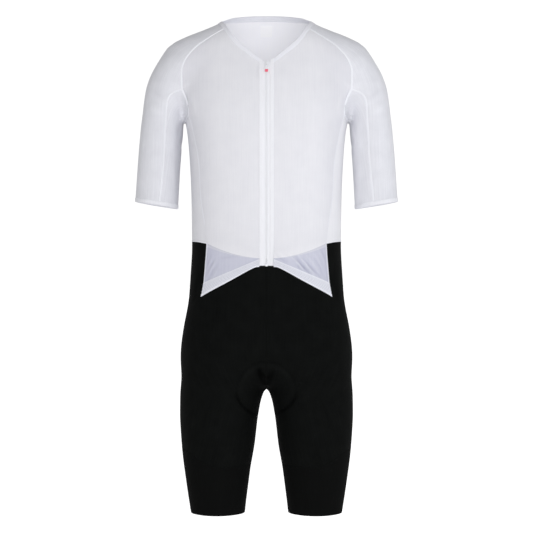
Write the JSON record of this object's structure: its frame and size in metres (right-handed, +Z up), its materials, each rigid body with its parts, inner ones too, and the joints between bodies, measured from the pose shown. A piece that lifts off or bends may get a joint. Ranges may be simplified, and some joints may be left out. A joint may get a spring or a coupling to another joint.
{
  "type": "one-piece cycling roadsuit with short sleeves and padded shorts",
  "caption": "One-piece cycling roadsuit: white raglan jersey with a full front zip and free front flaps, sewn at sides and back to black padded shorts.",
  "frame": {"origin": "between the wearer's shoulders, level with the base of the neck, inside the neck opening", "axes": "+Z up the wearer's body, -Y the front with the zip, +X to the side of the wearer's left arm"},
  "size_m": [0.512, 0.229, 0.9755],
  "materials": {
    "light_mesh": "light white micro-mesh knit",
    "ribbed_knit": "white knit with fine lengthwise ribs",
    "binding": "folded white elastic binding",
    "zip_tape": "woven white tape",
    "zip_coil": "white nylon coil",
    "zip_enamel": "white enamel",
    "coral_rubber": "soft coral pink",
    "black_lycra": "dense black stretch knit, faint sheen",
    "black_band": "black compressive band",
    "pad": "moulded foam faced with black microfibre",
    "label": "plain satin label, bare"
  },
  "bodies": {
    "body": {"front_right": "light_mesh", "front_left": "light_mesh", "hem_band_right": "light_mesh", "hem_band_left": "light_mesh", "back": "light_mesh", "side_right": "light_mesh", "side_left": "light_mesh", "sleeve_upper_right": "ribbed_knit", "sleeve_upper_left": "ribbed_knit", "sleeve_under_right": "ribbed_knit", "sleeve_under_left": "ribbed_knit", "cuff_right": "ribbed_knit", "cuff_left": "ribbed_knit", "neck_binding": "binding", "zip_tape_right": "zip_tape", "zip_tape_left": "zip_tape", "zip_chain": "zip_coil", "zip_stop": "zip_enamel", "zip_slider": "zip_enamel", "shorts_front_right": "black_lycra", "shorts_front_left": "black_lycra", "shorts_back_right": "black_lycra", "shorts_back_left": "black_lycra", "leg_band_right": "black_band", "leg_band_left": "black_band", "seat_pad": "pad", "neck_label": "label"},
    "pull": {"zip_pull": "zip_enamel", "zip_pull_tip": "coral_rubber"}
  },
  "joints": [
    {"name": "pull_hinge", "type": "hinge", "parent": "body", "child": "pull", "pos_m": [0, -0.09914, -0.07862], "axis": [-1, 0, 0], "range_deg": [0, 120]}
  ]
}
